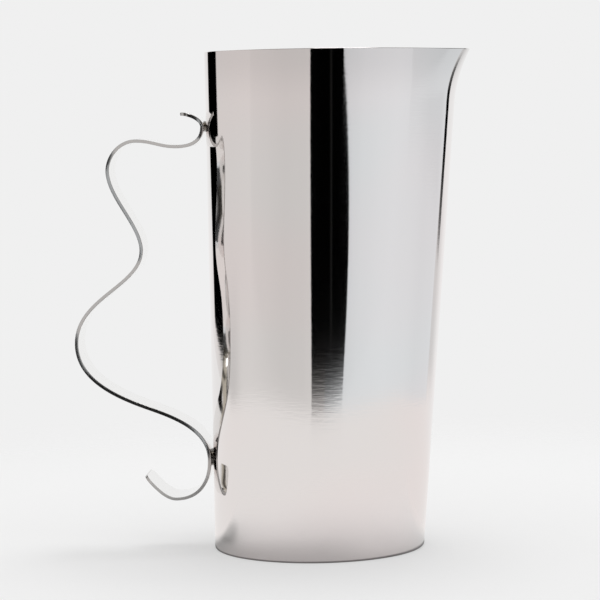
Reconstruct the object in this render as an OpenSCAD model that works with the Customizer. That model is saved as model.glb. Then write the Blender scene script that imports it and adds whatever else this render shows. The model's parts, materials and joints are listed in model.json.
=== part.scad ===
// Cocktail pitcher: a sheet body that stands straight up on the handle side and leans out to a drawn
// pouring lip on the other, a base disc brazed into its foot, and a handle bent from one flat strip
// that touches the body at two seats and curls free at both ends.
// Millimetres. The origin is the centre of the foot on the table, +Z is up and +X points to the lip.

/* [Body] */
// Height of the rim above the table
body_h = 230; // [190:1:270]
// Outer diameter of the foot
foot_d = 97.5; // [85:0.5:110]
// Outer diameter of the rim, before the lip is drawn out
rim_d = 117; // [105:0.5:135]
// How far the handle side leans outwards between the foot and the rim
back_lean = 0; // [0:0.5:6]
// Thickness of the sheet
wall_t = 1; // [0.8:0.1:1.4]
// Rounding of the outer edge of the foot
foot_edge_r = 0.8; // [0.3:0.1:1]
// Rounding of the two edges of the rim
rim_edge_r = 0.25; // [0.1:0.05:0.35]

/* [Lip] */
// How far the tip is drawn out past the plain rim
lip_reach = 5.7; // [2:0.1:10]
// Height of the drawn area, measured down from the rim
lip_h = 25; // [18:1:40]
// Angle on each side of the tip over which the rim is drawn out, at the rim
lip_angle = 42; // [30:1:60]
// The same angle at the bottom of the drawn area
lip_root_angle = 65; // [60:1:85]
// How far the rim sinks towards the tip
rim_fall = 0.9; // [0:0.1:3]

/* [Base] */
// Thickness of the base disc
base_t = 1.2; // [0.8:0.1:2]
// Clearance between the edge of the disc and the wall
base_gap = 0.1; // [0.05:0.05:0.3]
// Radius of the hollow face of the brazed bead in the inside corner
bead_r = 1.5; // [1:0.1:3]

/* [Handle] */
// Width of the strip
strip_w = 24; // [18:1:30]
// Thickness of the strip
strip_t = 1.5; // [1:0.1:2]
// Height of the lower seat above the table
lower_seat_z = 42; // [36:1:60]
// Distance of the upper seat below the rim
upper_seat_drop = 34; // [30:1:50]
// How far the widest bend stands off the wall, to the middle of the strip
handle_reach = 60.5; // [50:0.5:75]
// Gap between the strip and the wall at each seat, filled by the braze
seat_gap = 0.15; // [0.1:0.05:0.3]

/* [Brazed seats] */
// Width of both brazed seats across the strip
braze_w = 14; // [8:1:16]
// Height of the upper brazed seat
upper_braze_h = 5; // [3:0.5:6]
// Height of the lower brazed seat
lower_braze_h = 8; // [4:0.5:10]

/* [Hidden] */

foot_r = foot_d / 2;
rim_r = rim_d / 2;
// The rim's centre stands this far in front of the foot's centre
rim_shift = rim_r - foot_r - back_lean;
upper_seat_z = body_h - upper_seat_drop;
seat_span = upper_seat_z - lower_seat_z;
// Film left between a brazed seat and the faces that it joins
braze_film = 0.02;
// Blunt toe where the bead runs out on the wall and on the disc
bead_toe = 0.15;

// Body wall. A place on it is an angle round the axis, a height, and a depth into the sheet.
wall_sides = 96;
edge_steps = 3;
lip_steps = 9;
// Stations of the plain wall, as shares of its height below the lip
plain_shares = [0.05, 0.35, 0.7];
// Small steps used to measure the slope of the surface
slope_angle = 0.5;
slope_share = 0.001;

function mix(low, high, share) = low + (high - low) * share;
function section_r(z) = mix(foot_r, rim_r, z / body_h);
function section_x(z) = rim_shift * z / body_h;
// Angle from the tip, from 0 at the lip to 180 at the handle
function from_tip(angle) = abs(angle > 180 ? angle - 360 : angle);
// How far up the drawn area a height is, from 0 at its bottom to 1 at the rim
function drawn_share(z) = max(0, (z - body_h + lip_h) / lip_h);
function lip_width(z) = mix(lip_root_angle, lip_angle, drawn_share(z));
function lip_share(angle, z) =
    from_tip(angle) < lip_width(z) ? pow(cos(90 * from_tip(angle) / lip_width(z)), 2) : 0;
function lip_draw(angle, z) = lip_reach * pow(drawn_share(z), 2) * lip_share(angle, z);
function rim_z(angle) = body_h - rim_fall * pow(cos(angle / 2), 4);

function outer_point(angle, z) = [
    section_x(z) + section_r(z) * cos(angle) + lip_draw(angle, z),
    section_r(z) * sin(angle),
    z
];
function outer_normal(angle, z) =
    let (
        around = outer_point(angle + slope_angle, z) - outer_point(angle - slope_angle, z),
        rise = slope_share * body_h,
        up = outer_point(angle, z + rise) - outer_point(angle, z - rise),
        across = cross(around, up)
    )
    across / norm(across);
// Going in level by this much takes the point one sheet thickness in from a leaning face
function wall_point(angle, z, depth) =
    let (
        n = outer_normal(angle, z),
        level = depth / (n.x * n.x + n.y * n.y),
        p = outer_point(angle, z)
    )
    [p.x - level * n.x, p.y - level * n.y, z];

// Rounded edge: places from the start angle on, as [height, depth], about a centre
function edge_places(z, depth, r, start) =
    [for (k = [0 : edge_steps]) [z + r * sin(start + 90 * k / edge_steps), depth - r * cos(start + 90 * k / edge_steps)]];
function lip_z(top, k) = mix(body_h - lip_h, top, k / lip_steps);
// The closed section through the sheet at one angle: up the outside, over the rim and down the inside
function section_places(angle) =
    let (
        top = rim_z(angle),
        plain_zs = [for (share = plain_shares) share * (body_h - lip_h)],
        lip_zs = [for (k = [0 : lip_steps - 1]) lip_z(top, k)]
    )
    concat(
        edge_places(foot_edge_r, foot_edge_r, foot_edge_r, -90),
        [for (z = concat(plain_zs, lip_zs)) [z, 0]],
        edge_places(top - rim_edge_r, rim_edge_r, rim_edge_r, 0),
        edge_places(top - rim_edge_r, wall_t - rim_edge_r, rim_edge_r, 90),
        [for (k = [lip_steps - 1 : -1 : 0]) [lip_z(top, k), wall_t]],
        [for (k = [len(plain_zs) - 1 : -1 : 0]) [plain_zs[k], wall_t]],
        [[0, wall_t]]
    );

module closed_loft(sections) {
    count = len(sections);
    size = len(sections[0]);
    points = [for (section = sections) each section];
    faces = [
        for (i = [0 : count - 1]) for (j = [0 : size - 1])
            let (
                here = i * size,
                next = (i + 1) % count * size,
                up = (j + 1) % size
            )
            each [[here + j, here + up, next + up], [here + j, next + up, next + j]]
    ];
    polyhedron(points = points, faces = faces);
}

module body_wall() {
    color([0.80, 0.79, 0.79])
        closed_loft([
            for (i = [0 : wall_sides - 1])
                let (angle = 360 * i / wall_sides)
                [for (place = section_places(angle)) wall_point(angle, place[0], place[1])]
        ]);
}

// Base disc, flush with the foot
module base_disc() {
    color([0.76, 0.75, 0.75])
        cylinder(r = foot_r - wall_t - base_gap, h = base_t, $fn = 128);
}

// Bead of braze round the inside corner, with a hollow face
module base_bead() {
    bead_leg = bead_r + bead_toe;
    color([0.70, 0.68, 0.66])
        translate([0, 0, base_t])
            rotate_extrude($fn = 128)
                translate([foot_r - wall_t - base_gap - bead_leg, 0])
                    difference() {
                        square(bead_leg);
                        translate([0, bead_leg])
                            circle(r = bead_r, $fn = 48);
                    }
}

// Handle strip. Its stations run from the upper free end to the lower one. Each is a share of the
// handle's reach, a share of the height between the seats, the heading of the strip there, with 0
// pointing away from the wall and 90 up, and the pulls of the curve before and after it.
strip_shares = [
    [0.17, 1.038, 172, 0, 0.29],
    [0, 1, 270, 0.3, 0.46],
    [0.195, 0.942, 360, 0.42, 0.4],
    [0.515, 0.961, 360, 0.4, 0.38],
    [0.73, 0.872, 270, 0.36, 0.3],
    [0.485, 0.635, 270, 0.29, 0.31],
    [1, 0.354, 270, 0.41, 0.35],
    [0.46, 0.159, 200, 0.41, 0.38],
    [0, 0, 270, 0.37, 0.5],
    [0.26, -0.117, 360, 0.38, 0.27],
    [0.497, -0.048, 409, 0.42, 0]
];
span_steps = 12;

function wall_back(z) = section_x(z) - section_r(z);
// Middle of the strip at its seats, then its stations as [x, z]
function strip_place(reach, z) = [wall_back(z) - seat_gap - strip_t / 2 - reach, z];
function station(k) =
    strip_place(strip_shares[k][0] * handle_reach, mix(lower_seat_z, upper_seat_z, strip_shares[k][1]));
function heading(k) = [-cos(strip_shares[k][2]), sin(strip_shares[k][2])];
// The curve leaves a seat along the wall, also where the wall leans
function wall_lean(k) = atan2(back_lean, body_h);
function turned(v, angle) = [v.x * cos(angle) - v.y * sin(angle), v.x * sin(angle) + v.y * cos(angle)];
function curve_point(a, b, c, d, t) =
    pow(1 - t, 3) * a + 3 * pow(1 - t, 2) * t * b + 3 * (1 - t) * pow(t, 2) * c + pow(t, 3) * d;
function curve_slope(a, b, c, d, t) =
    pow(1 - t, 2) * (b - a) + 2 * (1 - t) * t * (c - b) + pow(t, 2) * (d - c);
function span_poles(k) =
    let (
        a = station(k),
        d = station(k + 1),
        chord = norm(d - a)
    )
    [
        a,
        a + strip_shares[k][4] * chord * turned(heading(k), wall_lean(k)),
        d - strip_shares[k + 1][3] * chord * turned(heading(k + 1), wall_lean(k + 1)),
        d
    ];
// A point of the strip's face on the given side of its middle: 1 is the left of its travel
function face_point(k, t, side) =
    let (
        p = span_poles(k),
        along = curve_slope(p[0], p[1], p[2], p[3], t),
        left = [-along.y, along.x] / norm(along)
    )
    curve_point(p[0], p[1], p[2], p[3], t) + side * strip_t / 2 * left;
function strip_face(side, first, last) = [
    for (k = [first : last]) for (i = [0 : span_steps - (k == last ? 0 : 1)])
        face_point(k, i / span_steps, side)
];

module handle_strip() {
    last = len(strip_shares) - 2;
    left = strip_face(1, 0, last);
    right = strip_face(-1, 0, last);
    color([0.74, 0.73, 0.72])
        rotate([90, 0, 0])
            linear_extrude(height = strip_w, center = true)
                polygon(concat(left, [for (i = [len(right) - 1 : -1 : 0]) right[i]]));
}

// Brazed seat: fills the gap between the flat strip and the round wall with a lens as wide and high
// as stated. Its front lies on the wall and its back on the strip.
braze_rows = 8;
braze_columns = 8;

module brazed_seat(seat_k, seat_z, high) {
    // The strip travels down past its seats, so the wall is on its left
    face = strip_face(1, seat_k - 1, seat_k);
    back_xs = [for (i = [len(face) - 1 : -1 : 0]) [face[i].y, face[i].x]];
    rows = [
        for (i = [0 : braze_rows])
            let (
                turn = 180 * (i + 0.5) / (braze_rows + 1),
                z = seat_z - high / 2 * cos(turn),
                half_w = braze_w / 2 * sin(turn)
            )
            [z, half_w]
    ];
    front = [
        for (row = rows) for (j = [0 : braze_columns])
            let (y = row[1] * (2 * j / braze_columns - 1))
            [section_x(row[0]) - sqrt(pow(section_r(row[0]), 2) - y * y) - braze_film, y, row[0]]
    ];
    back = [
        for (row = rows) for (j = [0 : braze_columns])
            [lookup(row[0], back_xs) + braze_film, row[1] * (2 * j / braze_columns - 1), row[0]]
    ];
    columns = braze_columns + 1;
    size = columns * (braze_rows + 1);
    grid = [for (i = [0 : braze_rows - 1]) for (j = [0 : braze_columns - 1]) i * columns + j];
    lower_edge = [for (j = [0 : braze_columns - 1]) [j, j + 1]];
    upper_edge = [for (j = [0 : braze_columns - 1]) [size - 1 - j, size - 2 - j]];
    near_edge = [for (i = [0 : braze_rows - 1]) [(i + 1) * columns, i * columns]];
    far_edge = [for (i = [0 : braze_rows - 1]) [i * columns + braze_columns, (i + 1) * columns + braze_columns]];
    rim = concat(lower_edge, upper_edge, near_edge, far_edge);
    polyhedron(
        points = concat(front, back),
        faces = concat(
            [for (g = grid) each [[g, g + columns, g + columns + 1], [g, g + columns + 1, g + 1]]],
            [for (g = grid) each [
                [size + g, size + g + columns + 1, size + g + columns],
                [size + g, size + g + 1, size + g + columns + 1]
            ]],
            [for (edge = rim) each [
                [edge[0], edge[1], size + edge[1]],
                [edge[0], size + edge[1], size + edge[0]]
            ]]
        )
    );
}

module upper_braze() {
    color([0.62, 0.60, 0.57]) brazed_seat(1, upper_seat_z, upper_braze_h);
}

module lower_braze() {
    color([0.62, 0.60, 0.57]) brazed_seat(8, lower_seat_z, lower_braze_h);
}

body_wall();
base_disc();
base_bead();
handle_strip();
upper_braze();
lower_braze();
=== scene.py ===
"""Looks of the tall steel pitcher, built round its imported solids."""

import json
import math

import bmesh
import bpy
from mathutils import Matrix, Vector

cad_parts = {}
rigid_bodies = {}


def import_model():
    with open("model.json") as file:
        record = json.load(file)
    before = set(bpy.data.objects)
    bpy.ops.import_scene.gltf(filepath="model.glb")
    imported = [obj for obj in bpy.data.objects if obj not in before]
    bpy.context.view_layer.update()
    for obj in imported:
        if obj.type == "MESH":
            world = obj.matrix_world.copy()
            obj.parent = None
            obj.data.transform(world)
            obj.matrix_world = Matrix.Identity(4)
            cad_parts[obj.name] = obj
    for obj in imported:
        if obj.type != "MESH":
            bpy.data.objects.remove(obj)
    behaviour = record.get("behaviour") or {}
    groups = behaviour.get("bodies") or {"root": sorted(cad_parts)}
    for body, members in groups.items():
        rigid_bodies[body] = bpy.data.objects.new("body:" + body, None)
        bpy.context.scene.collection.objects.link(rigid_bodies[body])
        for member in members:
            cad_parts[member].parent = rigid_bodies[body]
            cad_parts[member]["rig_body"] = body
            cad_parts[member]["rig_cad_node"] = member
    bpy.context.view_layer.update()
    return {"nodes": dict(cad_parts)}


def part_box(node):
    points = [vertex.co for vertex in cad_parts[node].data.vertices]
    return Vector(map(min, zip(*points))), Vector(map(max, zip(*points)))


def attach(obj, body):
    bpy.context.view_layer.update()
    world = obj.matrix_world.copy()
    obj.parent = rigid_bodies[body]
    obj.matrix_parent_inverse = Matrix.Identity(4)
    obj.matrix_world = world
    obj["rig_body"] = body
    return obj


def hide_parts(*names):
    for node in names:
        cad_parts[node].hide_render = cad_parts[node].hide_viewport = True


bl_info = {
    "name": "Steel pitcher",
    "version": (1, 0, 0),
    "blender": (4, 5, 0),
    "location": "3D View > Sidebar > Pitcher",
    "description": "Builds the pitcher's sheet wall, bent handle, foot and seats, and a plain studio for it",
    "category": "Add Mesh",
}

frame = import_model()

MM = 0.001
MERGE_GAP = 1e-6  # vertices nearer than this are one
SAME_PLACE = 1e-5  # and places nearer than this are the same
BODY = "root"
WALL_LOW, WALL_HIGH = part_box("body_wall")
STRIP_LOW, STRIP_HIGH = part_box("handle_strip")
DISC_LOW, DISC_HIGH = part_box("base_disc")
BEAD_LOW, BEAD_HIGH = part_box("base_bead")

# The strip's stations from its upper free end to its lower one: share of the handle's reach, share of
# the height between the seats, heading there (0 away from the wall, 90 up), and the pulls of the
# curve before and after it.
STRIP_STATIONS = (
    (0.17, 1.038, 172, 0, 0.29),
    (0, 1, 270, 0.3, 0.46),
    (0.195, 0.942, 360, 0.42, 0.4),
    (0.515, 0.961, 360, 0.4, 0.38),
    (0.73, 0.872, 270, 0.36, 0.3),
    (0.485, 0.635, 270, 0.29, 0.31),
    (1, 0.354, 270, 0.41, 0.35),
    (0.46, 0.159, 200, 0.41, 0.38),
    (0, 0, 270, 0.37, 0.5),
    (0.26, -0.117, 360, 0.38, 0.27),
    (0.497, -0.048, 409, 0.42, 0),
)


# ---------------------------------------------------------------- what a user would change

def length(name, default, description):
    return bpy.props.FloatProperty(
        name=name, description=description, default=default, min=0, precision=5,
        unit="LENGTH", subtype="DISTANCE",
    )


def colour(name, default, description):
    return bpy.props.FloatVectorProperty(
        name=name, description=description, default=default, size=3, min=0, max=1, subtype="COLOR"
    )


def share(name, default, description, high=1.0):
    return bpy.props.FloatProperty(
        name=name, description=description, default=default, min=0, max=high, subtype="FACTOR"
    )


def turn(name, default, description):
    return bpy.props.FloatProperty(
        name=name, description=description, default=math.radians(default), unit="ROTATION", subtype="ANGLE"
    )


class PitcherWallSizes(bpy.types.PropertyGroup):
    height: length("Height", WALL_HIGH.z, "Height of the wall at the handle side")
    foot_radius: length("Foot radius", -WALL_LOW.x, "Outside radius of the foot")
    rim_radius: length("Rim radius", 58.5 * MM, "Outside radius of the rim before the lip is drawn")
    sheet: length("Sheet thickness", 1 * MM, "Thickness of the wall's sheet")
    lip_reach: length("Lip reach", 5.7 * MM, "How far the lip is drawn out past the round rim")
    lip_height: length("Lip height", 25 * MM, "Height over which the lip is drawn")
    lip_angle: turn("Lip half angle", 42, "Half of the lip's width at the rim, seen from above")
    lip_root_angle: turn("Lip root half angle", 65, "Half of the lip's width where it starts")
    rim_fall: length("Rim fall", 0.9 * MM, "How much lower the rim is at the tip of the lip")
    rim_edge: length("Rim edge radius", 0.25 * MM, "Rounding of the rim's two edges")
    foot_edge: length("Foot edge radius", 0.8 * MM, "Rounding of the foot's outer edge")


class PitcherStripSizes(bpy.types.PropertyGroup):
    width: length("Strip width", STRIP_HIGH.y - STRIP_LOW.y, "Width of the handle's strip")
    thickness: length("Strip thickness", 1.5 * MM, "Thickness of the handle's strip")
    reach: length("Handle reach", 60.5 * MM, "How far the middle of the strip stands away from the seats")
    upper_seat: length("Upper seat", 196 * MM, "Height of the upper seat")
    lower_seat: length("Lower seat", 42 * MM, "Height of the lower seat")
    seat_gap: length("Seat gap", 0.15 * MM, "Gap between strip and wall that the braze fills")
    edge_slant: length("Edge slant", 0.56 * MM, "How much each side of the wall-side face is drawn in")
    rolled_edge: length("Rolled edge radius", 0.3 * MM, "Rounding of the edges of the wall-side face")
    sheared_edge: length("Sheared edge radius", 0.1 * MM, "Rounding of the edges of the other face")
    corner: length("Corner radius", 4 * MM, "Rounding of the strip's corners at its free ends")


class PitcherFinish(bpy.types.PropertyGroup):
    warm_steel: colour("Warm steel", (0.845, 0.79, 0.78), "Warmer tone of the polished wall")
    cool_steel: colour("Cool steel", (0.82, 0.80, 0.79), "Cooler tone of the polished wall")
    inside_steel: colour("Inside steel", (0.74, 0.73, 0.72), "Brushed steel inside the body")
    disc_steel: colour("Disc steel", (0.76, 0.75, 0.75), "Turned steel of the base disc")
    strip_steel: colour("Strip steel", (0.895, 0.89, 0.88), "Steel of the strip's faces")
    edge_steel: colour("Edge steel", (0.53, 0.52, 0.51), "Duller steel of the strip's ground edges")
    # Painted shade: braze and braze_tint are kept near black to stand for the shade in the joints at the
    # seats and round the base.
    braze: colour("Braze", (0.17, 0.16, 0.15), "Heat-darkened braze at the seats and round the base")
    braze_tint: colour("Braze tint", (0.21, 0.17, 0.13), "Straw tint that the heat leaves on the braze")
    wall_roughness: share("Wall roughness", 0.06, "Roughness of the polished wall")


class PitcherStudio(bpy.types.PropertyGroup):
    background: share("Background", 0.871, "Tone of the backdrop as the camera sees it", high=2)
    mirrored_back: share("Mirrored backdrop", 0.91, "Tone of the backdrop in the steel", high=2)
    paper: share("Paper", 0.87, "Tone of the table's own colour", high=1)
    shadow_lift: share("Shadow lift", 0.45, "How much of the backdrop's tone lies over the shadows")
    mirrored_table: colour("Mirrored table", (0.905, 0.88, 0.87), "Tone of the table in the steel")
    left_panel: colour("Left panel", (0.755, 0.735, 0.725), "Tone of the white panel on the left")
    right_panel: colour("Right panel", (0.83, 0.865, 0.89), "Tone of the white panel on the right")
    ceiling_front: colour("Ceiling in front", (0.04, 0.035, 0.03), "Dark ceiling above the camera")
    ceiling_back: colour("Ceiling behind", (0.54, 0.50, 0.43), "Dimmer ceiling behind the pitcher")
    sky: share("Soft light", 0.86, "Soft light from above that falls on the table", high=2)
    table_front: length("Table in front", 0.38, "How far the table reaches towards the camera")
    table_left: length("Table on the left", 0.58, "How far the table reaches to the left")
    table_right: length("Table on the right", 0.53, "How far the table reaches to the right")
    lamp_power: bpy.props.FloatProperty(
        name="Lamp", description="Power of the soft lamp overhead, in watts", default=2.8, min=0, unit="POWER"
    )


# ---------------------------------------------------------------- helpers for modelling

def deselect_all():
    if bpy.context.object and bpy.context.object.mode != "OBJECT":
        bpy.ops.object.mode_set(mode="OBJECT")
    bpy.ops.object.select_all(action="DESELECT")


def make_active(piece):
    deselect_all()
    piece.select_set(True)
    bpy.context.view_layer.objects.active = piece


def edit_mesh(piece, kind="EDGE"):
    make_active(piece)
    bpy.ops.object.mode_set(mode="EDIT")
    bpy.ops.mesh.select_mode(type=kind)


def object_mode():
    bpy.ops.object.mode_set(mode="OBJECT")


def pick(piece, kind, wanted):
    """Selects in edit mode the vertices, edges or faces for which wanted() is true."""
    bpy.ops.mesh.select_mode(type=kind)
    bpy.ops.mesh.select_all(action="DESELECT")
    shape = bmesh.from_edit_mesh(piece.data)
    parts = {"VERT": shape.verts, "EDGE": shape.edges, "FACE": shape.faces}[kind]
    found = 0
    for part in parts:
        if wanted(part):
            part.select = True
            found += 1
    shape.select_flush_mode()
    bmesh.update_edit_mesh(piece.data)
    if not found:
        raise RuntimeError(f"{piece.name}: nothing to select")
    return found


def is_corner(edge, low_z=-1.0, high_z=1.0):
    """An edge between two faces that meet at more than 50 degrees, at that height."""
    z = (edge.verts[0].co.z + edge.verts[1].co.z) / 2
    return low_z <= z <= high_z and len(edge.link_faces) == 2 and edge.calc_face_angle() > math.radians(50)


def apply_modifiers(piece):
    make_active(piece)
    for modifier in list(piece.modifiers):
        bpy.ops.object.modifier_apply(modifier=modifier.name)


def push_along(piece, name, axis, strength, weight):
    """Moves the vertices along an axis by strength times weight(place), which runs from 0 to 1."""
    group = piece.vertex_groups.new(name=name)
    for vertex in piece.data.vertices:
        group.add([vertex.index], min(1.0, max(0.0, weight(vertex.co))), "REPLACE")
    push = piece.modifiers.new(name, "DISPLACE")
    push.direction = axis
    push.mid_level = 0
    push.strength = strength
    push.vertex_group = name
    apply_modifiers(piece)
    piece.vertex_groups.remove(piece.vertex_groups[name])


def finish_piece(piece, name, node, materials, smooth=40):
    """Names the piece, smooths it, gives it its materials and puts it on the frame."""
    make_active(piece)
    bpy.ops.object.transform_apply(location=True, rotation=True, scale=True)
    bpy.ops.object.shade_smooth_by_angle(angle=math.radians(smooth))
    piece.modifiers.new("even shading", "WEIGHTED_NORMAL").keep_sharp = True
    apply_modifiers(piece)
    piece.name = name
    piece.data.name = name
    for material in materials:
        if material.name not in piece.data.materials:
            piece.data.materials.append(material)
    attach(piece, BODY)
    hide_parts(node)
    return piece


# ---------------------------------------------------------------- helpers for materials

BLACK = (0.0, 0.0, 0.0)
DEGREES = 180 / math.pi  # from radians


def add_node(tree, kind, settings=None, inputs=None):
    made = tree.nodes.new(kind)
    for name, value in (settings or {}).items():
        setattr(made, name, value)
    for name, value in (inputs or {}).items():
        if isinstance(value, bpy.types.NodeSocket):
            tree.links.new(value, made.inputs[name])
        else:
            made.inputs[name].default_value = value
    return made


def math_node(tree, operation, *values):
    """One Math node: its inputs are numbers or sockets."""
    return add_node(tree, "ShaderNodeMath", {"operation": operation}, dict(enumerate(values))).outputs[0]


def times(tree, first, *others):
    """The product of numbers and sockets."""
    for other in others:
        first = math_node(tree, "MULTIPLY", first, other)
    return first


def largest(tree, first, *others):
    """The largest of numbers and sockets."""
    for other in others:
        first = math_node(tree, "MAXIMUM", first, other)
    return first


def line_of(tree, value, factor, start):
    """The start plus so many times the value."""
    return math_node(tree, "MULTIPLY_ADD", value, factor, start)


def step_up(tree, value, start, end):
    """0 up to start, 1 from end on, smooth between them."""
    return add_node(
        tree, "ShaderNodeMapRange", {"interpolation_type": "SMOOTHSTEP"},
        {"Value": value, "From Min": start, "From Max": end, "To Min": 0.0, "To Max": 1.0},
    ).outputs["Result"]


def step_down(tree, value, start, end):
    """1 up to start, 0 from end on, smooth between them."""
    return math_node(tree, "SUBTRACT", 1.0, step_up(tree, value, start, end))


def between(tree, value, low, high, soft):
    """1 between low and high, 0 outside, with edges that are soft either side of them."""
    return times(
        tree, step_up(tree, value, low - soft, low + soft), step_down(tree, value, high - soft, high + soft))


def blend_tones(tree, factor, first, second):
    mix = add_node(tree, "ShaderNodeMix", {"data_type": "RGBA"}, {"Factor": factor})
    for socket, value in ((mix.inputs[6], first), (mix.inputs[7], second)):
        if isinstance(value, bpy.types.NodeSocket):
            tree.links.new(value, socket)
        else:
            socket.default_value = (*value, 1.0)
    return mix.outputs[2]


def noise_at(tree, scale, detail=2.0, roughness=0.5, offset=(0.0, 0.0, 0.0)):
    """Noise on the piece's own coordinates, with so many waves a metre along each axis."""
    place = add_node(tree, "ShaderNodeTexCoord").outputs["Object"]
    mapping = add_node(
        tree, "ShaderNodeMapping", None, {"Vector": place, "Scale": scale, "Location": offset}
    )
    return add_node(
        tree, "ShaderNodeTexNoise", None,
        {"Vector": mapping.outputs[0], "Scale": 1.0, "Detail": detail, "Roughness": roughness},
    ).outputs["Fac"]


def length_of(tree, vector):
    return add_node(tree, "ShaderNodeVectorMath", {"operation": "LENGTH"}, {0: vector}).outputs["Value"]


def steel(name, anisotropic=0.0, rotation=0.0):
    """A metal material with an empty node tree but for its shader and output."""
    material = bpy.data.materials.new(name)
    material.use_nodes = True
    tree = material.node_tree
    tree.nodes.clear()
    shader = add_node(
        tree, "ShaderNodeBsdfPrincipled", None,
        {"Metallic": 1.0, "Anisotropic": anisotropic, "Anisotropic Rotation": rotation},
    )
    tree.links.new(shader.outputs[0], add_node(tree, "ShaderNodeOutputMaterial").inputs["Surface"])
    if anisotropic:
        around = add_node(tree, "ShaderNodeTangent", {"direction_type": "RADIAL", "axis": "Z"})
        tree.links.new(around.outputs[0], shader.inputs["Tangent"])
    return material, tree, shader


def set_bump(tree, shader, heights, strength=1.0):
    """Stacks bumps: each is a height socket and its depth in metres."""
    normal = None
    for height, depth in heights:
        bump = add_node(
            tree, "ShaderNodeBump", None, {"Height": height, "Distance": depth, "Strength": strength})
        if normal:
            tree.links.new(normal, bump.inputs["Normal"])
        normal = bump.outputs[0]
    tree.links.new(normal, shader.inputs["Normal"])


def roughness_from(tree, shader, value, low, high):
    spread = add_node(tree, "ShaderNodeMapRange", None, {"Value": value, "To Min": low, "To Max": high})
    tree.links.new(spread.outputs[0], shader.inputs["Roughness"])


def polished_wall(finish):
    """Polished sheet with fine lines that run round the body, and smoother beside the handle; its colour
    carries painted shade near the rim.
    """
    material, tree, shader = steel("polished_wall", anisotropic=0.9, rotation=0.25)
    drift = noise_at(tree, (9.0, 9.0, 16.0), detail=1.0)
    tone = blend_tones(tree, step_up(tree, drift, 0.35, 0.65), finish.cool_steel, finish.warm_steel)
    place = add_node(tree, "ShaderNodeTexCoord").outputs["Object"]
    across, _, height = add_node(tree, "ShaderNodeSeparateXYZ", None, {0: place}).outputs
    # Painted shade: the wall's colour is blended up to 11% towards black from 205 mm up to the rim.
    painted_rim_shade = times(tree, step_up(tree, height, 0.205, 0.228), 0.11)
    tree.links.new(blend_tones(tree, painted_rim_shade, tone, BLACK), shader.inputs["Base Color"])
    lines = noise_at(tree, (60.0, 60.0, 2500.0), detail=2.0)
    grain = noise_at(tree, (240.0, 240.0, 900.0), detail=1.0, offset=(3.0, 1.0, 7.0))
    coarse = line_of(tree, step_up(tree, across, -0.044, -0.036), 0.6, 0.4)
    roughness = times(tree, coarse, line_of(tree, lines, 0.3, 0.85), finish.wall_roughness)
    tree.links.new(roughness, shader.inputs["Roughness"])
    set_bump(tree, shader, [(lines, 0.6e-5), (grain, 0.8e-5)], coarse)
    return material


def brushed_inside(finish):
    """Satin inside, brushed round the body and left as it came off the rolls."""
    material, tree, shader = steel("brushed_inside", anisotropic=0.6, rotation=0.25)
    drift = noise_at(tree, (14.0, 14.0, 22.0), detail=3.0)
    darker = [channel * 0.93 for channel in finish.inside_steel]
    tree.links.new(blend_tones(tree, drift, darker, finish.inside_steel), shader.inputs["Base Color"])
    lines = noise_at(tree, (45.0, 45.0, 3200.0), detail=3.0, roughness=0.6)
    roughness_from(tree, shader, lines, 0.22, 0.36)
    set_bump(tree, shader, [(lines, 2.2e-5)])
    return material


def turned_disc(finish):
    """Disc faced on a lathe: fine rings round its middle."""
    material, tree, shader = steel("turned_disc", anisotropic=0.6, rotation=0.25)
    place = add_node(tree, "ShaderNodeTexCoord").outputs["Object"]
    flat = add_node(tree, "ShaderNodeVectorMath", {"operation": "MULTIPLY"}, {0: place, 1: (1.0, 1.0, 0.0)})
    radius = length_of(tree, flat.outputs[0])
    rings = add_node(
        tree, "ShaderNodeTexNoise", {"noise_dimensions": "1D"},
        {"W": times(tree, radius, 1800.0), "Scale": 1.0, "Detail": 2.0},
    ).outputs["Fac"]
    darker = [channel * 0.94 for channel in finish.disc_steel]
    tree.links.new(blend_tones(tree, rings, darker, finish.disc_steel), shader.inputs["Base Color"])
    roughness_from(tree, shader, rings, 0.24, 0.36)
    set_bump(tree, shader, [(rings, 2.0e-5), (noise_at(tree, (700.0, 700.0, 700.0)), 0.5e-5)])
    return material


def polished_strip(finish):
    """Polished flat strip with fine lines along its length."""
    material, tree, shader = steel("polished_strip")
    drift = noise_at(tree, (30.0, 18.0, 30.0), detail=2.0)
    darker = [channel * 0.96 for channel in finish.strip_steel]
    tree.links.new(blend_tones(tree, drift, darker, finish.strip_steel), shader.inputs["Base Color"])
    lines = noise_at(tree, (70.0, 2600.0, 70.0), detail=2.0)
    roughness_from(tree, shader, lines, 0.09, 0.15)
    set_bump(tree, shader, [(lines, 0.7e-5)])
    return material


def ground_edge(finish):
    """The strip's narrow edges, ground and less bright than its faces."""
    material, tree, shader = steel("ground_edge")
    drift = noise_at(tree, (260.0, 260.0, 260.0), detail=2.0)
    darker = [channel * 0.88 for channel in finish.edge_steel]
    tree.links.new(blend_tones(tree, drift, darker, finish.edge_steel), shader.inputs["Base Color"])
    grind = noise_at(tree, (900.0, 3600.0, 900.0), detail=2.0)
    roughness_from(tree, shader, grind, 0.12, 0.2)
    set_bump(tree, shader, [(grind, 1.0e-5)])
    return material


def painted_shade_braze(finish):
    """Braze that ran into the joint, kept near black as painted shade of the joint, with a straw tint and a
    slightly pebbled skin.
    """
    material, tree, shader = steel("painted_shade_braze")
    heat = noise_at(tree, (180.0, 180.0, 180.0), detail=3.0)
    tone = blend_tones(tree, step_up(tree, heat, 0.4, 0.7), finish.braze, finish.braze_tint)
    tree.links.new(tone, shader.inputs["Base Color"])
    skin = noise_at(tree, (1400.0, 1400.0, 1400.0), detail=2.0)
    roughness_from(tree, shader, skin, 0.2, 0.34)
    set_bump(tree, shader, [(skin, 4.0e-5)])
    return material


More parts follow.
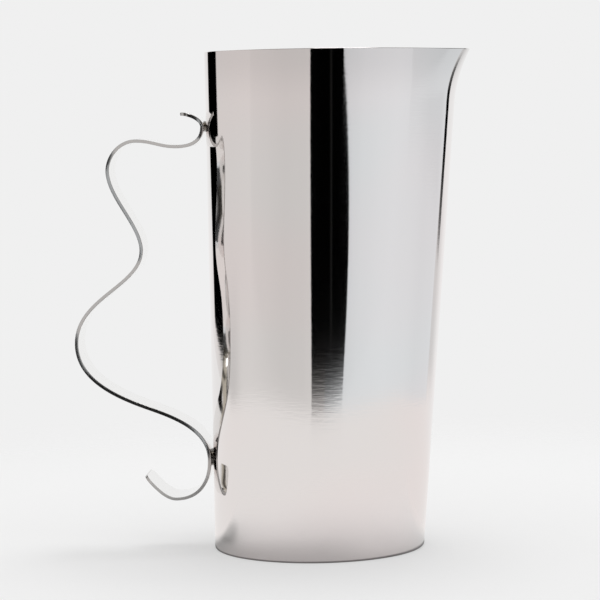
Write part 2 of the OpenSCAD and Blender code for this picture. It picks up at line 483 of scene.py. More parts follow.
def shared(make):
    """A material is made once, with the colours of the panel, and used again by its name."""
    found = bpy.data.materials.get(make.__name__)
    return found or make(bpy.context.scene.pitcher_finish)


# ---------------------------------------------------------------- the body's sheet

class WallForm:
    """The shape of the wall's outside, from the sizes in the panel."""

    def __init__(self, sizes):
        self.s = sizes
        self.shift = sizes.rim_radius - sizes.foot_radius

    def radius(self, z):
        return self.s.foot_radius + (self.s.rim_radius - self.s.foot_radius) * z / self.s.height

    def middle(self, z):
        return self.shift * z / self.s.height

    def turn_of(self, place):
        """Angle round the body from the tip of the lip, 0 to pi."""
        return abs(math.atan2(place.y, place.x - self.middle(place.z)))

    def fall(self, place):
        """Share of the rim's fall at a place, which grows up the wall and towards the lip."""
        return max(0.0, place.z) / self.s.height * math.cos(self.turn_of(place) / 2) ** 4

    def drawn(self, place):
        """How far the lip's drawing moves a place outwards."""
        share_up = max(0.0, (place.z - self.s.height + self.s.lip_height) / self.s.lip_height)
        half = self.s.lip_root_angle + (self.s.lip_angle - self.s.lip_root_angle) * share_up
        angle = self.turn_of(place)
        across = math.cos(math.pi / 2 * angle / half) ** 2 if angle < half else 0.0
        return self.s.lip_reach * share_up**2 * across


WALL_SIDES = 360
FOOT_SPARE = 2 * MM  # the wall starts this far below the table and is then cut level
PLAIN_RINGS = 11
LIP_RINGS = 40
OVER_FOOT_EDGE = 0.4 * MM  # rows that keep the sheet's form beside its rounded edges
UNDER_RIM_EDGE = 0.1 * MM


def wall_heights(sizes):
    start = sizes.height - sizes.lip_height
    plain = [sizes.foot_edge + OVER_FOOT_EDGE] + [start * k / PLAIN_RINGS for k in range(1, PLAIN_RINGS + 1)]
    lip = [start + sizes.lip_height * k / LIP_RINGS for k in range(1, LIP_RINGS)]
    return plain + lip + [sizes.height - sizes.rim_edge - UNDER_RIM_EDGE, sizes.height]


def build_wall(sizes):
    form = WallForm(sizes)
    deselect_all()
    z = -FOOT_SPARE
    bpy.ops.mesh.primitive_circle_add(
        vertices=WALL_SIDES, radius=form.radius(z), fill_type="NOTHING", location=(form.middle(z), 0, z)
    )
    wall = bpy.context.object
    bpy.ops.object.transform_apply(location=True)
    edit_mesh(wall)
    bpy.ops.mesh.select_all(action="SELECT")
    for height in wall_heights(sizes):
        grow = form.radius(height) / form.radius(z)
        step = Vector((form.middle(height) - form.middle(z), 0, height - z))
        bpy.ops.mesh.extrude_edges_move(TRANSFORM_OT_translate={"value": step})
        bpy.ops.transform.resize(value=(grow, grow, 1), center_override=(form.middle(height), 0, height))
        z = height
    bpy.ops.mesh.select_all(action="SELECT")
    bpy.ops.mesh.normals_make_consistent(inside=False)
    object_mode()
    if sum(face.normal.dot(face.center * Vector((1, 1, 0))) for face in wall.data.polygons) < 0:
        raise RuntimeError("the wall's faces point inwards")
    push_along(wall, "rim_fall", "Z", -sizes.rim_fall, form.fall)
    push_along(wall, "lip", "X", sizes.lip_reach, lambda place: form.drawn(place) / sizes.lip_reach)
    sheet = wall.modifiers.new("sheet", "SOLIDIFY")
    sheet.thickness = sizes.sheet
    sheet.offset = -1
    sheet.use_even_offset = True
    apply_modifiers(wall)
    edit_mesh(wall)
    bpy.ops.mesh.select_all(action="SELECT")
    bpy.ops.mesh.bisect(plane_co=(0, 0, 0), plane_no=(0, 0, 1), clear_inner=True, clear_outer=False)
    pick(wall, "EDGE", lambda edge: edge.is_boundary)
    bpy.ops.mesh.bridge_edge_loops()
    foot_outside = sizes.foot_radius - sizes.sheet / 2
    pick(wall, "EDGE", lambda edge: is_corner(edge, high_z=MM)
         and math.hypot(edge.verts[0].co.x, edge.verts[0].co.y) > foot_outside)
    bpy.ops.mesh.bevel(offset=sizes.foot_edge, segments=4, affect="EDGES")
    pick(wall, "EDGE", lambda edge: is_corner(edge, low_z=sizes.height / 2))
    bpy.ops.mesh.bevel(offset=sizes.rim_edge, segments=3, affect="EDGES")
    object_mode()
    for make in (polished_wall, brushed_inside):
        wall.data.materials.append(shared(make))
    edit_mesh(wall, "FACE")

    def faces_in(face):
        middle = face.calc_center_median()
        out = Vector((middle.x - form.middle(middle.z), middle.y, 0)).normalized()
        return face.normal.dot(out) < -0.5

    pick(wall, "FACE", faces_in)
    wall.active_material_index = 1
    bpy.ops.object.material_slot_assign()
    object_mode()
    return finish_piece(wall, "sheet_wall", "body_wall", [])


# ---------------------------------------------------------------- the handle's strip

STRIP_STEPS = 28


def strip_poles(sizes, wall):
    """Middle, pull before and pull after of each station, as (x, z) of the strip's side view."""
    seat_x = -wall.foot_radius - sizes.seat_gap - sizes.thickness / 2
    places = [
        Vector((seat_x - reach * sizes.reach, sizes.lower_seat + up * (sizes.upper_seat - sizes.lower_seat)))
        for reach, up, *_ in STRIP_STATIONS
    ]
    poles = []
    for k, (_, _, heading, before, after) in enumerate(STRIP_STATIONS):
        along = Vector((-math.cos(math.radians(heading)), math.sin(math.radians(heading))))
        back = (places[k] - places[k - 1]).length if k else 0
        ahead = (places[k + 1] - places[k]).length if k + 1 < len(places) else 0
        poles.append((places[k], places[k] - before * back * along, places[k] + after * ahead * along))
    return poles


def build_strip(sizes, wall):
    poles = strip_poles(sizes, wall)
    deselect_all()
    bpy.ops.curve.primitive_bezier_curve_add(location=(0, 0, 0))
    strip = bpy.context.object
    route = strip.data
    route.dimensions = "2D"
    route.resolution_u = STRIP_STEPS
    route.extrude = sizes.width / 2
    route.fill_mode = "NONE"
    points = route.splines[0].bezier_points
    points.add(len(poles) - len(points))
    for point, (middle, before, after) in zip(points, poles):
        point.handle_left_type = point.handle_right_type = "FREE"
        point.co = (*middle, 0)
        point.handle_left = (*before, 0)
        point.handle_right = (*after, 0)
    bpy.ops.object.convert(target="MESH")
    strip = bpy.context.object
    strip.rotation_euler = (math.pi / 2, 0, 0)
    bpy.ops.object.transform_apply(rotation=True)
    edit_mesh(strip)
    bpy.ops.mesh.select_all(action="SELECT")
    bpy.ops.mesh.remove_doubles(threshold=MERGE_GAP)
    object_mode()
    round_ends(strip, sizes, poles)
    seat = poles[1][0]
    facing = min(
        strip.data.polygons, key=lambda face: (face.center.x - seat.x) ** 2 + (face.center.z - seat.y) ** 2)
    if facing.normal.x < 0:
        edit_mesh(strip)
        bpy.ops.mesh.select_all(action="SELECT")
        bpy.ops.mesh.flip_normals()
        object_mode()
    for make in (polished_strip, polished_strip, ground_edge):
        strip.data.materials.append(shared(make))
    thick = strip.modifiers.new("thickness", "SOLIDIFY")
    thick.thickness = sizes.thickness
    thick.offset = 0
    thick.use_even_offset = True
    thick.material_offset = 1
    thick.material_offset_rim = 2
    apply_modifiers(strip)
    edit_mesh(strip, "FACE")
    pick(strip, "FACE", lambda face: face.material_index == 0)
    bpy.ops.transform.resize(value=(1, 1 - 2 * sizes.edge_slant / sizes.width, 1), center_override=(0, 0, 0))
    object_mode()
    for side, radius, steps in ((0, sizes.rolled_edge, 3), (1, sizes.sheared_edge, 2)):
        edit_mesh(strip)
        pick(strip, "EDGE", lambda edge: is_corner(edge) and {face.material_index for face in edge.link_faces}
             == {side, 2})
        bpy.ops.mesh.bevel(offset=radius, segments=steps, affect="EDGES", material=2)
        object_mode()
    return finish_piece(strip, "bent_strip", "handle_strip", [])


def round_ends(strip, sizes, poles):
    """Narrows the last rows of the strip, so that its free ends have round corners."""
    for end in (poles[0][0], poles[-1][0]):
        tip = Vector((end.x, 0, end.y))
        rows = {}
        for vertex in strip.data.vertices:
            gap = (Vector((vertex.co.x, 0, vertex.co.z)) - tip).length
            if gap < sizes.corner:
                rows[round(gap, 6)] = gap
        edit_mesh(strip, "VERT")
        for gap in rows.values():
            cut = sizes.corner - math.sqrt(max(0.0, sizes.corner**2 - (sizes.corner - gap) ** 2))
            pick(strip, "VERT", lambda vertex: abs(
                (Vector((vertex.co.x, 0, vertex.co.z)) - tip).length - gap) < SAME_PLACE)
            bpy.ops.transform.resize(value=(1, 1 - cut / (sizes.width / 2), 1), center_override=(0, 0, 0))
        object_mode()


# ---------------------------------------------------------------- the base and the brazed seats

DISC_SIDES, DISC_EDGE = 180, 0.15 * MM
DISC_MIDDLE = 3 * MM  # radius of the disc's plain middle
DISC_SLOPE, DISC_DEPTH = 1.5 * MM, 0.12 * MM
BEAD_FILL = 0.92  # the bead's hollow face against a quarter circle
BEAD_SIDES, BEAD_CUTS = 240, 7


def build_disc():
    """The let-in disc, with its edges broken and a shallow turned middle."""
    radius = DISC_HIGH.x
    deselect_all()
    bpy.ops.mesh.primitive_circle_add(
        vertices=DISC_SIDES, radius=radius, fill_type="NGON", location=(0, 0, 0))
    disc = bpy.context.object
    edit_mesh(disc, "FACE")
    bpy.ops.mesh.select_all(action="SELECT")
    bpy.ops.mesh.extrude_region_move(TRANSFORM_OT_translate={"value": (0, 0, DISC_HIGH.z - DISC_LOW.z)})
    bpy.ops.mesh.select_all(action="SELECT")
    bpy.ops.mesh.normals_make_consistent(inside=False)
    pick(disc, "EDGE", is_corner)
    bpy.ops.mesh.bevel(offset=DISC_EDGE, segments=2, affect="EDGES")
    for side in (1, -1):
        pick(disc, "FACE", lambda face: face.normal.z * side > 0.99 and len(face.verts) > DISC_SIDES / 2)
        bpy.ops.mesh.inset(thickness=radius - DISC_MIDDLE)
        bpy.ops.mesh.inset(thickness=DISC_SLOPE, depth=-DISC_DEPTH)
    object_mode()
    return finish_piece(disc, "foot_disc", "base_disc", [shared(turned_disc)], smooth=30)


def build_bead():
    """The bead of braze round the inside corner: a hollow fillet spun round the body."""
    outside = BEAD_HIGH.x
    leg = BEAD_HIGH.z - BEAD_LOW.z
    deselect_all()
    bpy.ops.mesh.primitive_circle_add(vertices=3, radius=leg, fill_type="NOTHING", location=(outside, 0, leg))
    bead = bpy.context.object
    bpy.ops.object.transform_apply(location=True)
    edit_mesh(bead, "VERT")
    corners = ((outside, BEAD_LOW.z), (outside, BEAD_HIGH.z), (outside - leg, BEAD_LOW.z))
    shape = bmesh.from_edit_mesh(bead.data)
    for vertex, (x, z) in zip(shape.verts, corners):
        vertex.co = (x, 0, z)
    bmesh.update_edit_mesh(bead.data)
    pick(bead, "EDGE", lambda edge: abs(edge.verts[0].co.x - edge.verts[1].co.x) > leg / 2
         and abs(edge.verts[0].co.z - edge.verts[1].co.z) > leg / 2)
    bpy.ops.mesh.subdivide(number_cuts=BEAD_CUTS)
    hollow = Vector((outside - leg, 0, BEAD_HIGH.z))
    reach = leg * BEAD_FILL
    shape = bmesh.from_edit_mesh(bead.data)
    for vertex in shape.verts:
        away = vertex.co - hollow
        between_ends = BEAD_LOW.z + SAME_PLACE < vertex.co.z < BEAD_HIGH.z - SAME_PLACE
        if between_ends and vertex.co.x < outside - SAME_PLACE:
            vertex.co = hollow + away.normalized() * reach
    bmesh.update_edit_mesh(bead.data)
    bpy.ops.mesh.select_all(action="SELECT")
    bpy.ops.mesh.spin(steps=BEAD_SIDES, angle=2 * math.pi, center=(0, 0, 0), axis=(0, 0, 1))
    bpy.ops.mesh.select_all(action="SELECT")
    bpy.ops.mesh.remove_doubles(threshold=MERGE_GAP)
    bpy.ops.mesh.normals_make_consistent(inside=False)
    object_mode()
    return finish_piece(bead, "foot_bead", "base_bead", [shared(painted_shade_braze)])


def build_seat(node, name):
    """The braze of one seat: a merged and smoothed copy of the solid that fills the joint."""
    deselect_all()
    source = frame["nodes"][node]
    source.select_set(True)
    bpy.context.view_layer.objects.active = source
    bpy.ops.object.duplicate()
    seat = bpy.context.object
    seat.parent = None
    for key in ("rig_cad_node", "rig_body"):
        if key in seat:
            del seat[key]
    seat.data.materials.clear()
    edit_mesh(seat, "VERT")
    bpy.ops.mesh.select_all(action="SELECT")
    bpy.ops.mesh.remove_doubles(threshold=MERGE_GAP)
    object_mode()
    return finish_piece(seat, name, node, [shared(painted_shade_braze)])


# ---------------------------------------------------------------- the studio

CAMERA_PLACE = (0.0, -1.170, 0.208)
CAMERA_TILT, CAMERA_PAN, CAMERA_ROLL = 0.0795, -0.0059, 0.0202
VIEW_TURN = math.radians(3)  # the studio stands turned by this much, so the handle points slightly away
IMAGE_SIDE, FOCAL_PIXELS, SENSOR = 600, 2530, 36.0


def build_camera():
    data = bpy.data.cameras.new("camera")
    data.sensor_width = SENSOR
    data.lens = SENSOR * FOCAL_PIXELS / IMAGE_SIDE
    camera = bpy.data.objects.new("camera", data)
    bpy.context.scene.collection.objects.link(camera)
    facing = (
        Matrix.Rotation(-CAMERA_PAN, 4, "Z")
        @ Matrix.Rotation(math.pi / 2 - CAMERA_TILT, 4, "X")
        @ Matrix.Rotation(-CAMERA_ROLL, 4, "Z")
    )
    camera.matrix_world = Matrix.Rotation(VIEW_TURN, 4, "Z") @ Matrix.Translation(CAMERA_PLACE) @ facing
    bpy.context.scene.camera = camera
    return camera


def studio_axes(tree, vector):
    """Parts of a place or direction along the studio's own axes."""
    turned = add_node(
        tree, "ShaderNodeVectorRotate", {"rotation_type": "Z_AXIS"}, {"Vector": vector, "Angle": -VIEW_TURN})
    return add_node(tree, "ShaderNodeSeparateXYZ", None, {0: turned.outputs[0]}).outputs


def tone_steps(tree, value, tones):
    """Colours by a value from -180 to 180, blended between them."""
    ramp = add_node(tree, "ShaderNodeValToRGB", None, {"Fac": line_of(tree, value, 1 / 360, 0.5)})
    points = ramp.color_ramp.elements
    points[0].position, points[1].position = 0.0, 1.0
    for at, _ in tones[1:-1]:
        points.new((at + 180) / 360)
    for point, (_, tone) in zip(points, tones):
        point.color = (*tone, 1.0)
    return ramp.outputs["Color"]


def toned(tone, factor):
    return tuple(channel * factor for channel in tone)


def grey(level):
    return (level, level, level, 1.0)


def mix_shaders(tree, factor, first, second):
    return add_node(tree, "ShaderNodeMixShader", None, {0: factor, 1: first.outputs[0], 2: second.outputs[0]})


def glow(tree, colour_in):
    return add_node(tree, "ShaderNodeEmission", None, {"Color": colour_in, "Strength": 1.0})


def show_surface(tree, shader, kind="ShaderNodeOutputMaterial"):
    tree.links.new(shader.outputs[0], add_node(tree, kind).inputs["Surface"])


# The room that the steel mirrors. Its places are in degrees: the angle round the pitcher, 0 towards the
# camera and 90 to the right, and the height over eye level. Two numbers say where an edge starts and ends;
# three say from where to where something goes, and how soft its edges are. A share is how dark it is.
FLAG_LEFT, FLAG_RIGHT = (-151.3, -149.3), (-128.8, -126.8)  # the black flag behind on the left
FLAG_LEFT_LEAN, FLAG_RIGHT_LEAN = (1.1, 0.07), (1.0, 0.34)  # for each degree under and over eye level
FLAG_FOOT, FLAG_FOOT_LEAN, FLAG_TOP = (-13.36, -13.18), 0.0564, (40.0, 50.0)
THIN_GAP = (135.0, 141.8, 0.4)  # between the right panel and the backdrop
CORNER, CORNER_HEIGHT, CORNER_SHARE = (105.0, 147.0, 6.0), (3.0, 52.0, 3.0), 0.92  # on the right
LEFT_FOOT, LEFT_FOOT_TOP, LEFT_FOOT_SHARE = (-122.0, -98.0, 8.0), (-6.8, -4.6), 0.15
RIGHT_DIM, RIGHT_DIM_FOOT, RIGHT_DIM_SHARE = (75.0, 130.0, 6.0), (-7.4, -5.4), 0.085
BEAM, BEAM_HEIGHT, BEAM_SHARE = (143.0, 149.0), (52.0, 58.5, 2.0), 0.9  # over the backdrop
PANEL_TOP, PANEL_TOP_SOFT = 34.0, 3.0
PANEL_TOP_RISES = ((6.0, 0.2, 0.8), (9.0, 0.56, 0.64))  # a rise, and where towards the back it happens
CEILING_CHANGE = (0.0, 0.45)
SKY_LOW, SKY_RISE = 0.2, 1.2


def build_world(studio):
    """A white room with the dark gaps that the polished wall mirrors; the camera sees the plain backdrop."""
    world = bpy.data.worlds.new("studio")
    bpy.context.scene.world = world
    world.use_nodes = True
    tree = world.node_tree
    tree.nodes.clear()
    x, y, z = studio_axes(tree, add_node(tree, "ShaderNodeTexCoord").outputs["Generated"])
    azimuth = times(tree, math_node(tree, "ARCTAN2", x, times(tree, y, -1.0)), DEGREES)
    height = times(tree, math_node(tree, "ARCSINE", z), DEGREES)
    below = math_node(tree, "MINIMUM", height, 0.0)
    over = math_node(tree, "MAXIMUM", height, 0.0)

    def leaning(rate_below, rate_over):
        """Azimuth moved by so many degrees for each degree of height, under and over eye level."""
        return line_of(tree, below, rate_below, line_of(tree, over, rate_over, azimuth))

    left, right, back = studio.left_panel, studio.right_panel, (studio.mirrored_back,) * 3
    room = tone_steps(tree, azimuth, (
        (-180, back), (-157, back), (-127, left), (-80, toned(left, 1.03)), (-50, toned(left, 0.95)),
        (0, toned(left, 0.93)), (1, toned(right, 0.95)), (60, toned(right, 1.02)), (88, right),
        (104, toned(right, 0.965)), (134, toned(right, 0.975)), (140, back), (180, back),
    ))
    flag = times(
        tree,
        step_up(tree, leaning(*FLAG_LEFT_LEAN), *FLAG_LEFT),
        step_down(tree, leaning(*FLAG_RIGHT_LEAN), *FLAG_RIGHT),
        step_up(tree, line_of(tree, azimuth, FLAG_FOOT_LEAN, height), *FLAG_FOOT),
        step_down(tree, height, *FLAG_TOP),
    )
    corner = times(tree, between(tree, azimuth, *CORNER), between(tree, height, *CORNER_HEIGHT), CORNER_SHARE)
    left_foot = times(
        tree, between(tree, azimuth, *LEFT_FOOT), step_down(tree, height, *LEFT_FOOT_TOP), LEFT_FOOT_SHARE)
    right_dim = times(
        tree, between(tree, azimuth, *RIGHT_DIM), step_up(tree, height, *RIGHT_DIM_FOOT), RIGHT_DIM_SHARE)
    beam = times(
        tree, step_up(tree, math_node(tree, "ABSOLUTE", azimuth), *BEAM), between(tree, height, *BEAM_HEIGHT),
        BEAM_SHARE)
    dark = largest(tree, flag, between(tree, azimuth, *THIN_GAP), corner, left_foot, right_dim, beam)
    panel_top = PANEL_TOP
    for rise, start, end in PANEL_TOP_RISES:
        panel_top = line_of(tree, step_up(tree, y, start, end), rise, panel_top)
    above = step_up(tree, math_node(tree, "SUBTRACT", height, panel_top), -PANEL_TOP_SOFT, PANEL_TOP_SOFT)
    ceiling = blend_tones(tree, step_up(tree, y, *CEILING_CHANGE), studio.ceiling_front, studio.ceiling_back)
    seen = blend_tones(tree, dark, blend_tones(tree, above, room, ceiling), BLACK)

    from_above = line_of(tree, math_node(tree, "MAXIMUM", z, 0.0), SKY_RISE, SKY_LOW)
    glossy = add_node(tree, "ShaderNodeBackground", None, {"Color": seen, "Strength": 1.0})
    light = add_node(tree, "ShaderNodeBackground", None, {"Color": grey(studio.sky), "Strength": from_above})
    sight = add_node(tree, "ShaderNodeBackground", None, {"Color": grey(studio.background), "Strength": 1.0})
    path = add_node(tree, "ShaderNodeLightPath").outputs
    mirrored = mix_shaders(tree, path["Is Glossy Ray"], light, glossy)
    show_surface(tree, mix_shaders(tree, path["Is Camera Ray"], mirrored, sight), "ShaderNodeOutputWorld")


def stage_plane(name, size, place, upright=False):
    deselect_all()
    bpy.ops.mesh.primitive_plane_add(size=size, rotation=(math.pi / 2 if upright else 0, 0, VIEW_TURN))
    plane = bpy.context.object
    plane.location = Matrix.Rotation(VIEW_TURN, 3, "Z") @ Vector(place)
    bpy.ops.object.transform_apply(location=True, rotation=True)
    plane.name = name
    material = bpy.data.materials.new(name)
    material.use_nodes = True
    material.node_tree.nodes.clear()
    plane.data.materials.append(material)
    return plane, material.node_tree


# The table as the steel mirrors it, in metres: across to the right, deep away from the camera, and far from
# the pitcher's middle. Angles are in degrees, as in the room.
TABLE_SIDE, TABLE_SOFT = 4, 0.01
CAMERA_FADE = (0.22, 0.5)  # where the table ends for the camera
PANEL_FOOT, PANEL_FOOT_SLOPE, PANEL_FOOT_SOFT = 0.07, 1.054, 0.02
BACK_PART = (0.12, 0.2)
FRONT_MIDDLE, FRONT_NARROW, BACK_NARROW = -0.1, 0.815, 0.62  # the rounded front of the table
FAR_CORNER, FAR_CORNER_END = (0.2, 0.3), (1.25, 2.35)
BACK_TONE = (0.1, 0.4)
LIT_FROM, LIT_BEHIND = (0.07, 0.2), 4.0  # nearer, the steel sees the real shadow
RING, RING_SHARE, RING_BACK = (0.0, 0.08, 0.025), 0.2, (0.0, 0.03)  # soft shade in front of the foot
RING_RIGHT, RING_RIGHT_LESS = (0.0, 0.045), 0.85
# Painted contact shadow: a thin ring of table under the foot's edge that the steel sees darker.
PAINTED_FOOT_SHADOW, PAINTED_FOOT_SHADOW_SHARE = (0.0, 0.0512, 0.0014), 0.62
HANDLE_SHADE, HANDLE_SHADE_SIZE, HANDLE_SHADE_SHARE, HANDLE_SHADE_FLAT = -0.088, (0.012, 0.055), 0.32, 2.0
HANDLE_SHADE_BACK, HANDLE_SHADE_NEAR, HANDLE_SHADE_NEAR_SHARE = (0.01, 0.024), (0.06, 0.078), 0.3
TURN_MIDDLE = 0.05  # the angles below turn about this place
PANEL_SHADE_START, PANEL_SHADE_END = (127.0, 131.0), (134.0, 158.0)
PANEL_SHADE_FROM, PANEL_SHADE_SHARE = (0.38, 0.6), 0.22
# Painted reflection: a dark stripe on the table, lined up with the thin gap, which the steel mirrors as the
# gap's dark line up the lip.
TABLE_GAP, TABLE_GAP_FROM, TABLE_GAP_SHARE = (134.2, 140.8, 0.4), (0.95, 1.5), 0.86


def build_floor(studio):
    """A pale table. Steel sees it as far as its edges, and the camera sees it melt into the backdrop."""
    _, tree = stage_plane("table_top", TABLE_SIDE, (0, 0, 0))
    place = add_node(tree, "ShaderNodeTexCoord").outputs["Object"]
    x, y, _ = studio_axes(tree, place)
    far = length_of(tree, place)
    behind = math_node(tree, "MAXIMUM", y, 0.0)

    def away(across, deep):
        squares = math_node(tree, "ADD", times(tree, across, across), times(tree, deep, deep))
        return math_node(tree, "SQRT", squares)

    behind_panel = math_node(tree, "SUBTRACT", line_of(tree, y, PANEL_FOOT_SLOPE, PANEL_FOOT), x)
    behind_panel = step_up(tree, behind_panel, -PANEL_FOOT_SOFT, PANEL_FOOT_SOFT)
    back_part = times(
        tree, behind_panel, step_up(tree, y, *BACK_PART),
        between(tree, x, -studio.table_left, studio.table_right, TABLE_SOFT),
    )
    deep = line_of(tree, behind, BACK_NARROW, math_node(tree, "MINIMUM", y, 0.0))
    round_part = step_down(
        tree, away(line_of(tree, x, FRONT_NARROW, -FRONT_MIDDLE * FRONT_NARROW), deep),
        studio.table_front - TABLE_SOFT, studio.table_front + TABLE_SOFT,
    )
    far_corner = times(
        tree, step_up(tree, x, *FAR_CORNER), behind_panel, step_down(tree, far, *FAR_CORNER_END))
    off_table = math_node(tree, "SUBTRACT", 1.0, largest(tree, back_part, round_part, far_corner))
    path = add_node(tree, "ShaderNodeLightPath").outputs
    clear = add_node(
        tree, "ShaderNodeMix", {"data_type": "FLOAT"},
        {"Factor": path["Is Glossy Ray"], 2: step_up(tree, far, *CAMERA_FADE), 3: off_table},
    )

    paper = add_node(tree, "ShaderNodeBsdfDiffuse", None, {"Color": grey(studio.paper)})
    lift = times(tree, path["Is Camera Ray"], studio.shadow_lift)
    paper = mix_shaders(tree, lift, paper, glow(tree, grey(studio.background)))
    tone = blend_tones(
        tree, step_up(tree, y, *BACK_TONE), studio.mirrored_table, (studio.mirrored_back,) * 3)
    lit = step_up(tree, line_of(tree, behind, LIT_BEHIND, far), *LIT_FROM)
    top = mix_shaders(tree, times(tree, path["Is Glossy Ray"], lit), paper, glow(tree, tone))

    ring = times(
        tree, between(tree, far, *RING), step_down(tree, y, *RING_BACK), RING_SHARE,
        line_of(tree, step_up(tree, x, *RING_RIGHT), -RING_RIGHT_LESS, 1.0),
    )
    handle_shade = away(math_node(tree, "SUBTRACT", x, HANDLE_SHADE), times(tree, y, HANDLE_SHADE_FLAT))
    handle_shade = times(
        tree, step_down(tree, handle_shade, *HANDLE_SHADE_SIZE),
        step_down(tree, y, *HANDLE_SHADE_BACK), HANDLE_SHADE_SHARE,
        line_of(tree, step_up(tree, far, *HANDLE_SHADE_NEAR), 1 - HANDLE_SHADE_NEAR_SHARE,
                HANDLE_SHADE_NEAR_SHARE),
    )
    angle = math_node(tree, "ARCTAN2", math_node(tree, "SUBTRACT", x, TURN_MIDDLE), times(tree, y, -1.0))
    angle = times(tree, angle, DEGREES)
    panel_shade = times(
        tree, step_up(tree, angle, *PANEL_SHADE_START), step_down(tree, angle, *PANEL_SHADE_END),
        step_up(tree, far, *PANEL_SHADE_FROM), PANEL_SHADE_SHARE,
    )
    shades = math_node(tree, "ADD", math_node(tree, "ADD", ring, handle_shade), panel_shade)
    # painted contact shadow at the foot, seen by the steel only
    painted_foot_shadow = times(tree, between(tree, far, *PAINTED_FOOT_SHADOW), PAINTED_FOOT_SHADOW_SHARE)
    gap = times(tree, between(tree, angle, *TABLE_GAP), step_up(tree, far, *TABLE_GAP_FROM), TABLE_GAP_SHARE)
    dim = times(tree, path["Is Glossy Ray"], largest(tree, shades, painted_foot_shadow, gap))
    top = mix_shaders(tree, dim, top, glow(tree, grey(0.0)))
    nothing = add_node(tree, "ShaderNodeBsdfTransparent")
    show_surface(tree, mix_shaders(tree, clear.outputs[0], top, nothing))


# The gap between the cards, in metres: each edge's place at the table's height, its slope and its bend.
GAP_LEFT, GAP_RIGHT, GAP_SOFT = (-0.072, -0.257, 0.35), (0.121, 0.49, -3.55), 0.0012
GAP_UPRIGHT_FROM, GAP_FOOT = 0.2, (-0.024, 0.025)
FAINT_LINE, FAINT_LINE_LEAN, FAINT_TONE = (0.0425, 0.0525, 0.003), 0.196, (0.009, 0.009, 0.009)
CARD_SIDE, CARD_TOP = 3.2, (0.55, 0.6)  # over the top, the room is seen


def build_cards(studio):
    """Two white cards at the table's front edge, with the gap that the photograph was taken through."""
    cards, tree = stage_plane("front_cards", CARD_SIDE, (0, -studio.table_front, CARD_SIDE / 2), upright=True)
    for kind in ("camera", "diffuse", "transmission", "volume_scatter", "shadow"):
        setattr(cards, "visible_" + kind, False)
    x, _, z = studio_axes(tree, add_node(tree, "ShaderNodeTexCoord").outputs["Object"])
    low = math_node(tree, "MINIMUM", z, GAP_UPRIGHT_FROM)

    def edge(start, slope, bend):
        return line_of(tree, low, line_of(tree, low, bend, slope), start)

    gap = times(
        tree,
        step_up(tree, math_node(tree, "SUBTRACT", x, edge(*GAP_LEFT)), -GAP_SOFT, GAP_SOFT),
        step_up(tree, math_node(tree, "SUBTRACT", edge(*GAP_RIGHT), x), -GAP_SOFT, GAP_SOFT),
        step_up(tree, z, *GAP_FOOT),
    )
    centimetres = times(tree, x, 100.0)
    left, right = studio.left_panel, studio.right_panel
    white = tone_steps(tree, centimetres, (
        (-180, left), (-60, toned(left, 0.96)), (-30, toned(left, 0.92)), (-14, toned(left, 0.93)),
        (-9, toned(left, 0.96)), (0, left), (1, toned(right, 0.86)), (13, toned(right, 0.90)),
        (22, toned(right, 0.96)), (40, toned(right, 1.0)), (70, toned(right, 1.02)), (180, right),
    ))
    faint_line = between(tree, line_of(tree, z, FAINT_LINE_LEAN, x), *FAINT_LINE)
    tone = blend_tones(tree, gap, white, blend_tones(tree, faint_line, BLACK, FAINT_TONE))
    nothing = add_node(tree, "ShaderNodeBsdfTransparent")
    show_surface(tree, mix_shaders(tree, step_up(tree, z, *CARD_TOP), glow(tree, tone), nothing))


LAMP_PLACE = (0.09, 0.23, 1.1)
LAMP_SIDES = (0.34, 0.44)


def build_lamp(studio):
    data = bpy.data.lights.new("soft_lamp", "AREA")
    data.shape = "RECTANGLE"
    data.size, data.size_y = LAMP_SIDES
    data.energy = studio.lamp_power
    lamp = bpy.data.objects.new("soft_lamp", data)
    lamp.location = Matrix.Rotation(VIEW_TURN, 3, "Z") @ Vector(LAMP_PLACE)
    bpy.context.scene.collection.objects.link(lamp)
    return lamp


# ---------------------------------------------------------------- operators, panel and registering

class PITCHER_OT_stage(bpy.types.Operator):
    """Make the camera, the pale table, the white room and the lamp"""
    bl_idname = "pitcher.stage"
    bl_label = "Studio"
    bl_options = {"REGISTER", "UNDO"}

    def execute(self, context):
        studio = context.scene.pitcher_studio
        context.scene.view_settings.view_transform = "Standard"
        build_camera()
        build_world(studio)
        build_floor(studio)
        build_cards(studio)
        build_lamp(studio)
        return {"FINISHED"}


class PITCHER_OT_wall(bpy.types.Operator):
    """Roll the body's sheet and draw its pouring lip"""
    bl_idname = "pitcher.wall"
    bl_label = "Sheet wall"
    bl_options = {"REGISTER", "UNDO"}

    def execute(self, context):
        build_wall(context.scene.pitcher_wall)
        return {"FINISHED"}


class PITCHER_OT_handle(bpy.types.Operator):
    """Bend the handle from one flat strip"""
    bl_idname = "pitcher.handle"
    bl_label = "Bent strip"
    bl_options = {"REGISTER", "UNDO"}

    def execute(self, context):
        build_strip(context.scene.pitcher_strip, context.scene.pitcher_wall)
        return {"FINISHED"}


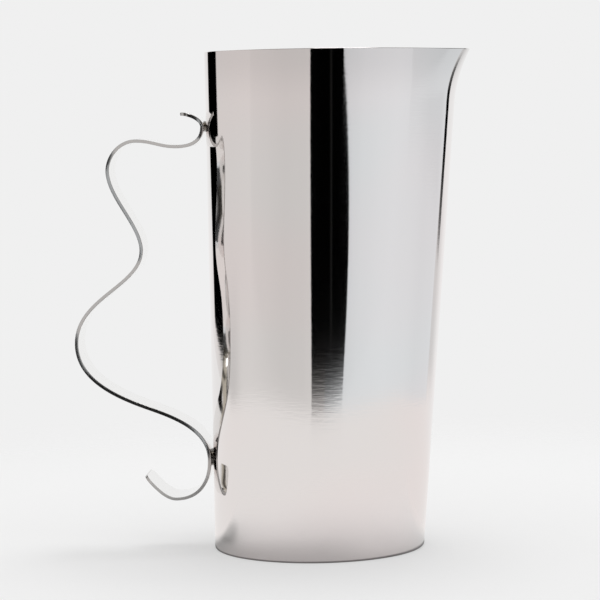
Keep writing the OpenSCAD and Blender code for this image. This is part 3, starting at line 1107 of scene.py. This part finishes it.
class PITCHER_OT_base(bpy.types.Operator):
    """Turn the base disc and run the braze round it"""
    bl_idname = "pitcher.base"
    bl_label = "Base disc and bead"
    bl_options = {"REGISTER", "UNDO"}

    def execute(self, context):
        build_disc()
        build_bead()
        return {"FINISHED"}


class PITCHER_OT_seats(bpy.types.Operator):
    """Braze the handle's two seats"""
    bl_idname = "pitcher.seats"
    bl_label = "Brazed seats"
    bl_options = {"REGISTER", "UNDO"}

    def execute(self, context):
        build_seat("upper_braze", "upper_seat")
        build_seat("lower_braze", "lower_seat")
        return {"FINISHED"}


class PITCHER_PT_panel(bpy.types.Panel):
    """Lists the pitcher's pieces and their sizes"""
    bl_idname = "PITCHER_PT_panel"
    bl_label = "Steel pitcher"
    bl_space_type = "VIEW_3D"
    bl_region_type = "UI"
    bl_category = "Pitcher"

    def draw(self, context):
        scene = context.scene
        for operator in OPERATORS:
            self.layout.operator(operator.bl_idname)
        for group in (scene.pitcher_wall, scene.pitcher_strip, scene.pitcher_finish, scene.pitcher_studio):
            box = self.layout.box()
            for name in group.__annotations__:
                box.prop(group, name)


OPERATORS = (PITCHER_OT_stage, PITCHER_OT_wall, PITCHER_OT_handle, PITCHER_OT_base, PITCHER_OT_seats)
GROUPS = {
    "pitcher_wall": PitcherWallSizes,
    "pitcher_strip": PitcherStripSizes,
    "pitcher_finish": PitcherFinish,
    "pitcher_studio": PitcherStudio,
}


def register():
    for kind in (*GROUPS.values(), *OPERATORS, PITCHER_PT_panel):
        bpy.utils.register_class(kind)
    for name, group in GROUPS.items():
        setattr(bpy.types.Scene, name, bpy.props.PointerProperty(type=group))


def unregister():
    for name in GROUPS:
        delattr(bpy.types.Scene, name)
    for kind in reversed((*GROUPS.values(), *OPERATORS, PITCHER_PT_panel)):
        bpy.utils.unregister_class(kind)


def main():
    register()
    bpy.ops.pitcher.stage()
    bpy.ops.pitcher.wall()
    bpy.ops.pitcher.handle()
    bpy.ops.pitcher.base()
    bpy.ops.pitcher.seats()


if __name__ == "__main__":
    main()
